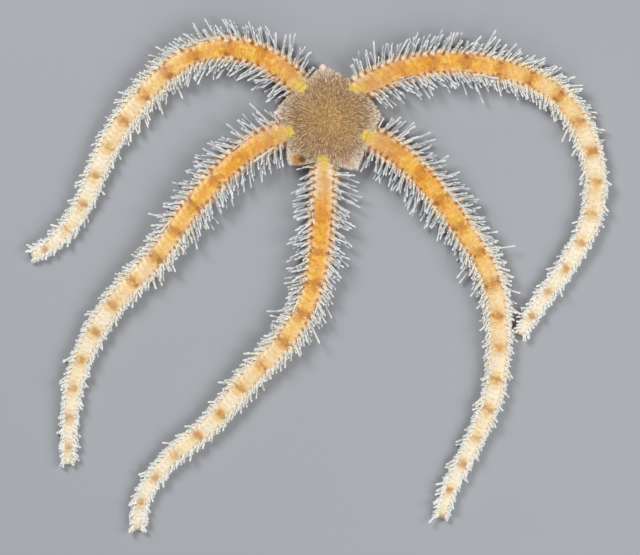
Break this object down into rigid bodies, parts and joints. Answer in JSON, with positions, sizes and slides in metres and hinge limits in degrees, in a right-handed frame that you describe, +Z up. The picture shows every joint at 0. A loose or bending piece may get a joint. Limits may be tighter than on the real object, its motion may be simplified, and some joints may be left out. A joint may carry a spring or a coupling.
{
  "type": "brittle star",
  "caption": "Life-size spiny brittle star lying mouth down: lobed disc, jaws under it, and long tapering arms fringed with spines, laid out in S curves on a flat surface.",
  "frame": {"origin": "On the surface that the animal lies on, under the middle of its box", "axes": "+X to the right of the picture and along the longest side, +Y up the picture, +Z up off the surface, out of the back of the disc"},
  "size_m": [0.0934, 0.0818, 0.0051],
  "materials": {
    "disc": "matte, grey-brown skin over fine scales",
    "jaw": "matte cream calcite plates",
    "arm_root": "satin orange and cream calcite plates",
    "arm_near": "satin orange and cream calcite plates",
    "arm_middle": "satin orange and cream calcite plates",
    "arm_far": "satin pale orange and cream calcite plates",
    "arm_tip": "satin cream calcite plates"
  },
  "bodies": {
    "root": {"disc": "disc", "jaw_1": "jaw", "jaw_2": "jaw", "jaw_3": "jaw", "jaw_4": "jaw", "jaw_5": "jaw", "arm_1_root": "arm_root", "arm_1_near": "arm_near", "arm_1_middle": "arm_middle", "arm_1_far": "arm_far", "arm_1_tip": "arm_tip", "arm_2_root": "arm_root", "arm_2_near": "arm_near", "arm_2_middle": "arm_middle", "arm_2_far": "arm_far", "arm_2_tip": "arm_tip", "arm_3_root": "arm_root", "arm_3_near": "arm_near", "arm_3_middle": "arm_middle", "arm_3_far": "arm_far", "arm_3_tip": "arm_tip", "arm_4_root": "arm_root", "arm_4_near": "arm_near", "arm_4_middle": "arm_middle", "arm_4_far": "arm_far", "arm_4_tip": "arm_tip", "arm_5_root": "arm_root", "arm_5_near": "arm_near", "arm_5_middle": "arm_middle", "arm_5_far": "arm_far", "arm_5_tip": "arm_tip"}
  },
  "joints": []
}
